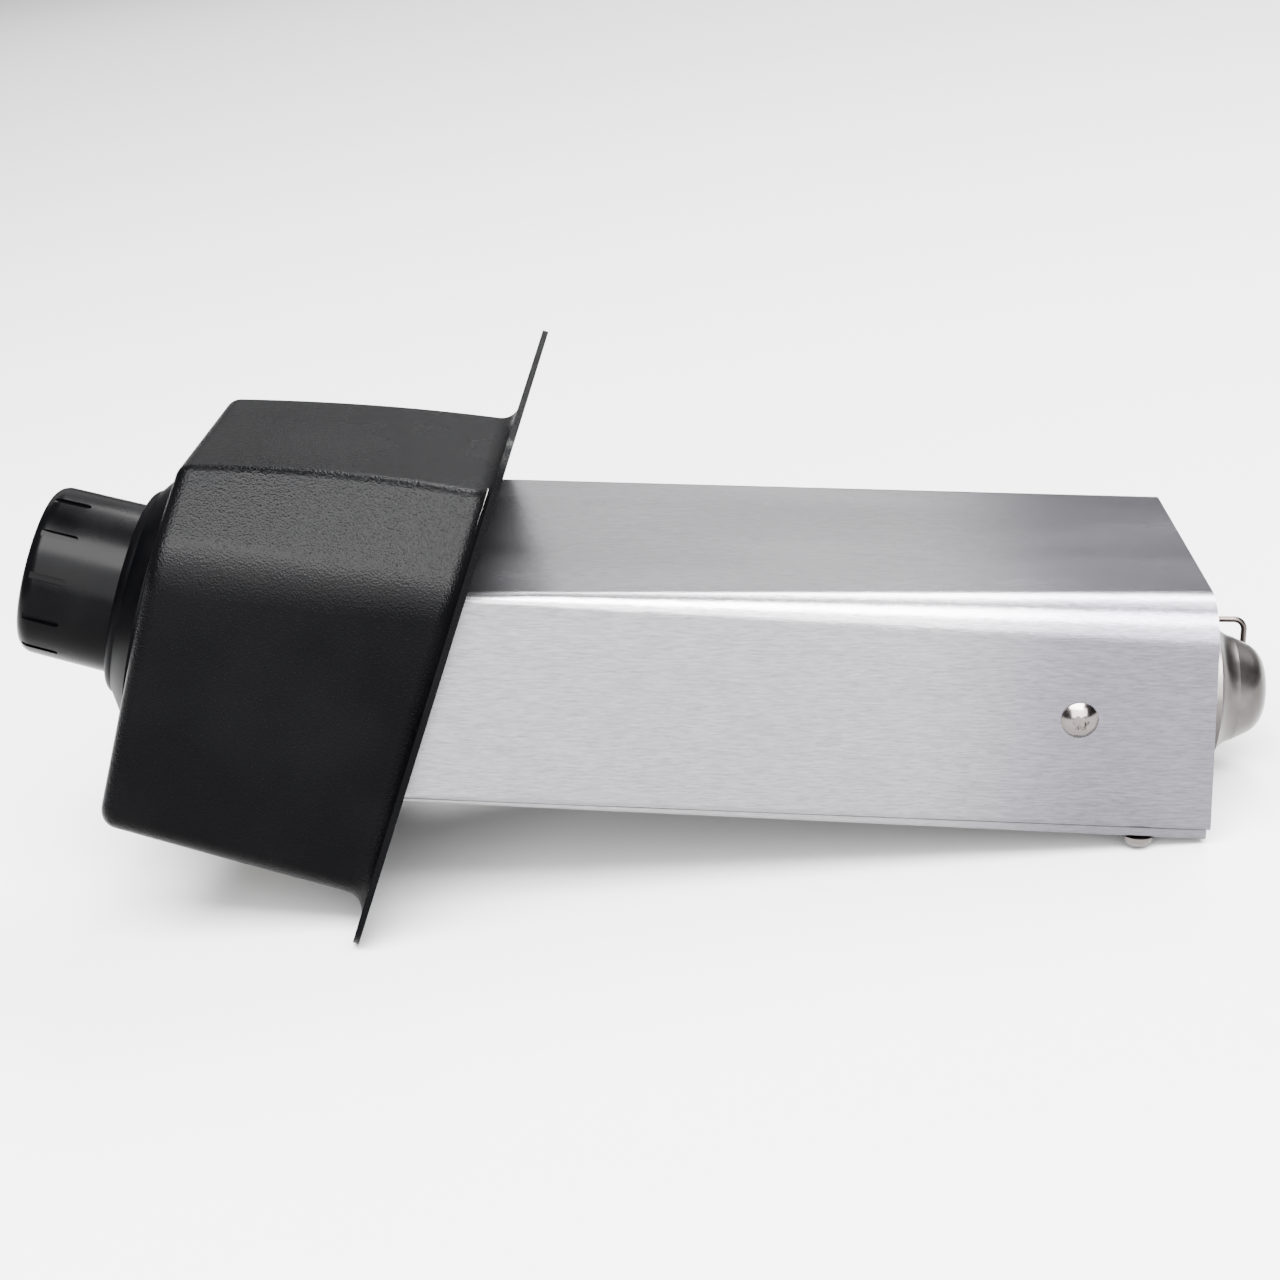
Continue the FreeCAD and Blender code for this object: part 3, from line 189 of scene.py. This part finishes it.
class Surface:
    """A node material on a principled shader, with short calls for the nodes it uses."""

    def __init__(self, name, colour, metallic, roughness):
        self.material = bpy.data.materials.new(name)
        self.material.use_nodes = True
        self.tree = self.material.node_tree
        self.shader = self.tree.nodes["Principled BSDF"]
        self.set("Base Color", (*colour, 1.0))
        self.set("Metallic", metallic)
        self.set("Roughness", roughness)
        self.place = self.node("ShaderNodeTexCoord").outputs["Object"]

    def set(self, socket, value):
        self.shader.inputs[socket].default_value = value

    def drive(self, socket, value):
        self.link(value, self.shader.inputs[socket])

    def node(self, kind, **settings):
        made = self.tree.nodes.new(kind)
        for key, value in settings.items():
            setattr(made, key, value)
        return made

    def link(self, output, target):
        self.tree.links.new(output, target)

    def stretched(self, scale):
        """Object coordinates in metres, multiplied by a scale along each axis."""
        mapping = self.node("ShaderNodeMapping")
        mapping.inputs["Scale"].default_value = scale
        self.link(self.place, mapping.inputs["Vector"])
        return mapping.outputs["Vector"]

    def noise(self, scale, detail, rough):
        """Noise from 0 to 1, with so many cells to the metre along each axis."""
        noise = self.node("ShaderNodeTexNoise")
        noise.inputs["Scale"].default_value = 1.0
        noise.inputs["Detail"].default_value = detail
        noise.inputs["Roughness"].default_value = rough
        self.link(self.stretched(scale), noise.inputs["Vector"])
        return noise.outputs["Fac"]

    def even_noise(self, cells, detail, rough):
        """Noise with the same number of cells to the metre along every axis."""
        return self.noise((cells, cells, cells), detail, rough)

    def pebbles(self, cells):
        """Distance in a field of rounded cells."""
        field = self.node("ShaderNodeTexVoronoi", feature="F1")
        field.inputs["Scale"].default_value = 1.0
        self.link(self.stretched((cells, cells, cells)), field.inputs["Vector"])
        return field.outputs["Distance"]

    def numbers(self, value, low, high, start=0.35, end=0.65):
        """Map a value to a range of numbers."""
        ramp = self.node("ShaderNodeMapRange")
        ramp.inputs["From Min"].default_value = start
        ramp.inputs["From Max"].default_value = end
        ramp.inputs["To Min"].default_value = low
        ramp.inputs["To Max"].default_value = high
        self.link(value, ramp.inputs["Value"])
        return ramp.outputs["Result"]

    def colours(self, value, low, high, start=0.35, end=0.65):
        """Map a value to a range of colours."""
        ramp = self.node("ShaderNodeValToRGB")
        first, last = ramp.color_ramp.elements
        first.position = start
        first.color = (*low, 1.0)
        last.position = end
        last.color = (*high, 1.0)
        self.link(value, ramp.inputs["Fac"])
        return ramp.outputs["Color"]

    def shaded(self, colour, shade, start, end):
        """Painted shade: colour that turns to a darker tint of itself between two places along X.
        """
        split = self.node("ShaderNodeSeparateXYZ")
        self.link(self.place, split.inputs["Vector"])
        share = self.node("ShaderNodeMapRange", interpolation_type="SMOOTHSTEP")
        share.inputs["From Min"].default_value = start
        share.inputs["From Max"].default_value = end
        self.link(split.outputs["X"], share.inputs["Value"])
        tint = self.colours(share.outputs["Result"], (1.0, 1.0, 1.0), shade, 0.0, 1.0)
        mix = self.node("ShaderNodeMix", data_type="RGBA", blend_type="MULTIPLY")
        mix.inputs[0].default_value = 1.0
        # The colour sockets of a mix node are its inputs 6 and 7 and its output 2
        self.link(colour, mix.inputs[6])
        self.link(tint, mix.inputs[7])
        return mix.outputs[2]

    def bump(self, height, depth, after=None):
        """Bump of a depth in metres, on top of an earlier one."""
        bump = self.node("ShaderNodeBump")
        bump.inputs["Distance"].default_value = depth
        self.link(height, bump.inputs["Height"])
        if after is not None:
            self.link(after, bump.inputs["Normal"])
        return bump.outputs["Normal"]


def brushed_steel(name, dark, light, rough_low, rough_high):
    """Sheet steel brushed along X, with painted shade that darkens it towards the nozzle end."""
    steel = Surface(name, light, 1.0, rough_low)
    grain = steel.noise((260.0, 2600.0, 2600.0), 4.0, 0.65)
    cloud = steel.noise((9.0, 30.0, 30.0), 2.0, 0.5)
    sheen = steel.colours(grain, dark, light, 0.3, 0.7)
    # Painted shade: the base colour darkens towards the nozzle end
    steel.drive("Base Color", steel.shaded(sheen, PAINTED_SHADE_TINT, PAINTED_SHADE_START, PAINTED_SHADE_END))
    steel.drive("Roughness", steel.numbers(cloud, rough_low, rough_high, 0.3, 0.7))
    steel.drive("Normal", steel.bump(grain, 0.000028))
    return steel.material


def moulded_black(name):
    """Black plastic with a fine leather-like mould texture."""
    black = Surface(name, BLACK, 0.0, 0.42)
    pebble = black.pebbles(1700.0)
    wrinkle = black.even_noise(1300.0, 4.0, 0.6)
    wear = black.even_noise(24.0, 3.0, 0.5)
    black.set("Specular IOR Level", 0.024)
    black.drive("Base Color", black.colours(wear, BLACK_DARK, BLACK_LIGHT))
    black.drive("Roughness", black.numbers(wear, 0.26, 0.31))
    first = black.bump(pebble, 0.00009)
    black.drive("Normal", black.bump(wrinkle, 0.00012, first))
    return black.material


def satin_black(name, roughness, specular):
    """Smooth black finish with faint haze."""
    black = Surface(name, BLACK, 0.0, roughness)
    haze = black.even_noise(60.0, 3.0, 0.5)
    fine = black.even_noise(5200.0, 2.0, 0.5)
    black.set("Specular IOR Level", specular)
    black.drive("Base Color", black.colours(haze, BLACK_DARK, BLACK_LIGHT))
    black.drive("Roughness", black.numbers(haze, roughness - 0.03, roughness + 0.03))
    black.drive("Normal", black.bump(fine, 0.000006))
    return black.material


def metal(name, dark, light, roughness, grains, depth):
    """Plain metal with fine mottling."""
    plain = Surface(name, light, 1.0, roughness)
    grain = plain.even_noise(grains, 3.0, 0.6)
    cloud = plain.even_noise(70.0, 3.0, 0.5)
    plain.drive("Base Color", plain.colours(cloud, dark, light, 0.3, 0.7))
    plain.drive("Roughness", plain.numbers(cloud, roughness - 0.05, roughness + 0.06))
    plain.drive("Normal", plain.bump(grain, depth))
    return plain.material


def matt(name, dark, light, roughness, grains, depth):
    """Unpolished non-metal, such as fibre, ceramic or rubber."""
    plain = Surface(name, light, 0.0, roughness)
    grain = plain.even_noise(grains, 5.0, 0.6)
    plain.drive("Base Color", plain.colours(grain, dark, light, 0.3, 0.7))
    plain.drive("Roughness", plain.numbers(grain, roughness - 0.05, roughness + 0.05))
    plain.drive("Normal", plain.bump(grain, depth))
    return plain.material


def make_materials():
    """Every material slot of the record, by name."""
    made = {"moulded_black": moulded_black("moulded_black")}
    families = (
        (satin_black, SATIN_BLACKS),
        (brushed_steel, SHEETS),
        (metal, METALS),
        (matt, MATTS),
    )
    for make, finishes in families:
        for name, values in finishes.items():
            made[name] = make(name, *values)
    return made


def paint_nodes():
    materials = make_materials()
    slots = {entry["node"]: entry["material_slot"] for entry in frame["record"]["subparts"]}
    for node, shape in frame["nodes"].items():
        for index in range(len(shape.material_slots)):
            shape.material_slots[index].material = materials[slots[node]]


# ---- moving detail ---------------------------------------------------------------------------

def closing_spring(node):
    """Stand-in copy of the stem spring, attached to the burner body in place of the original."""
    coil = node.copy()
    coil.data = node.data.copy()
    coil.name = "pressed_spring"
    bpy.context.collection.objects.link(coil)
    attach(coil, "burner")
    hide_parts(node.name)
    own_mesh(coil)


make_camera()
make_floor()
make_lights()
paint_nodes()
closing_spring(frame["nodes"]["stem_spring"])
